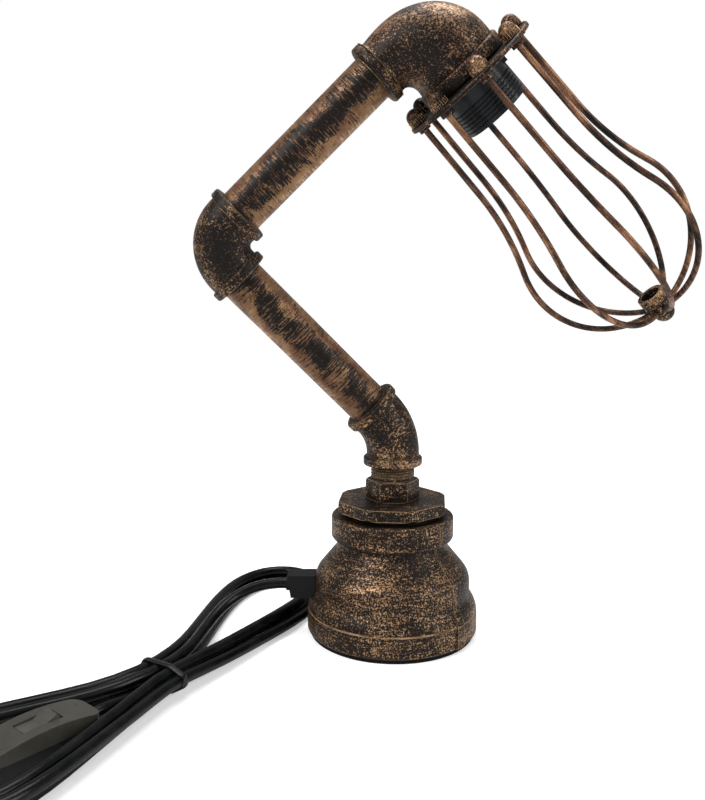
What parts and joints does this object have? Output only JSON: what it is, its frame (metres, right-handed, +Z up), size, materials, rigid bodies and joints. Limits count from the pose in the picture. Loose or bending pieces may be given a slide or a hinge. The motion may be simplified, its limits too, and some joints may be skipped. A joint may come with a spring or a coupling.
{
  "type": "industrial pipe table lamp",
  "caption": "Table lamp of threaded pipe fittings: bell-shaped foot, jointed pipe arm with screwed swivels, wire guard round a lamp holder, corded switch and plug.",
  "frame": {"origin": "centre of the foot's pad, on the table", "axes": "+Z up; the lamp's front faces -Y; the guard leans toward +X"},
  "size_m": [0.4261, 0.3645, 0.371],
  "materials": {
    "bronzed_casting": "satin, brushed bronze over black",
    "bronzed_pipe": "satin, streaked bronze",
    "guard_metal": "satin, dark bronze",
    "copper_trim": "satin copper",
    "brass": "plain",
    "white_insulator": "glazed",
    "black_moulding": "satin",
    "grey_switch": "satin",
    "tie": "satin",
    "rubber_pad": "matt",
    "black_cord": "satin"
  },
  "bodies": {
    "foot": {"base_socket": "bronzed_casting", "base_pad": "rubber_pad", "octagon_bushing": "bronzed_casting", "hex_nipple": "bronzed_casting", "lead_base": "black_cord", "cord_gland": "black_moulding", "gland_nut": "brass", "cord_tail": "black_cord", "cord_hank": "black_cord", "cord_tie": "tie", "switch_lead": "black_cord", "switch_base": "black_moulding", "switch_cover": "grey_switch", "switch_contacts": "brass", "switch_screws": "brass", "plug_lead": "black_cord", "plug_body": "black_cord", "plug_pins": "brass"},
    "lower_arm": {"elbow_45": "bronzed_casting", "lower_pipe": "bronzed_pipe", "lead_lower": "black_cord"},
    "upper_arm": {"elbow_90": "bronzed_casting", "upper_pipe": "bronzed_pipe", "lead_upper": "black_cord"},
    "head": {"reducing_elbow": "bronzed_casting", "cage_plate": "guard_metal", "cage_wires": "guard_metal", "cage_nuts": "copper_trim", "cage_collars": "guard_metal", "cage_ring": "guard_metal", "cage_finial": "copper_trim", "holder_shell": "black_moulding", "holder_cap": "black_moulding", "holder_insulator": "white_insulator", "holder_thread_shell": "brass", "holder_contact": "brass", "holder_terminals": "brass", "lead_head": "black_cord"},
    "rocker": {"switch_rocker": "grey_switch"}
  },
  "joints": [
    {"name": "arm_swivel", "type": "hinge", "parent": "foot", "child": "lower_arm", "pos_m": [0, 0, 0.1089], "axis": [0, 0, 1], "range_deg": [-150, 150]},
    {"name": "elbow_swivel", "type": "hinge", "parent": "lower_arm", "child": "upper_arm", "pos_m": [-0.10952, -0.02448, 0.24362], "axis": [-0.6901, -0.1543, 0.7071], "range_deg": [-90, 90]},
    {"name": "head_swivel", "type": "hinge", "parent": "upper_arm", "child": "head", "pos_m": [0.01401, -0.03134, 0.36268], "axis": [0.7194, -0.04, 0.6934], "range_deg": [-150, 150]},
    {"name": "rocker_switch", "type": "hinge", "parent": "foot", "child": "rocker", "pos_m": [-0.1745, -0.1465, 0.0126], "axis": [-0.7547, 0.6561, 0], "range_deg": [0, 24]}
  ]
}
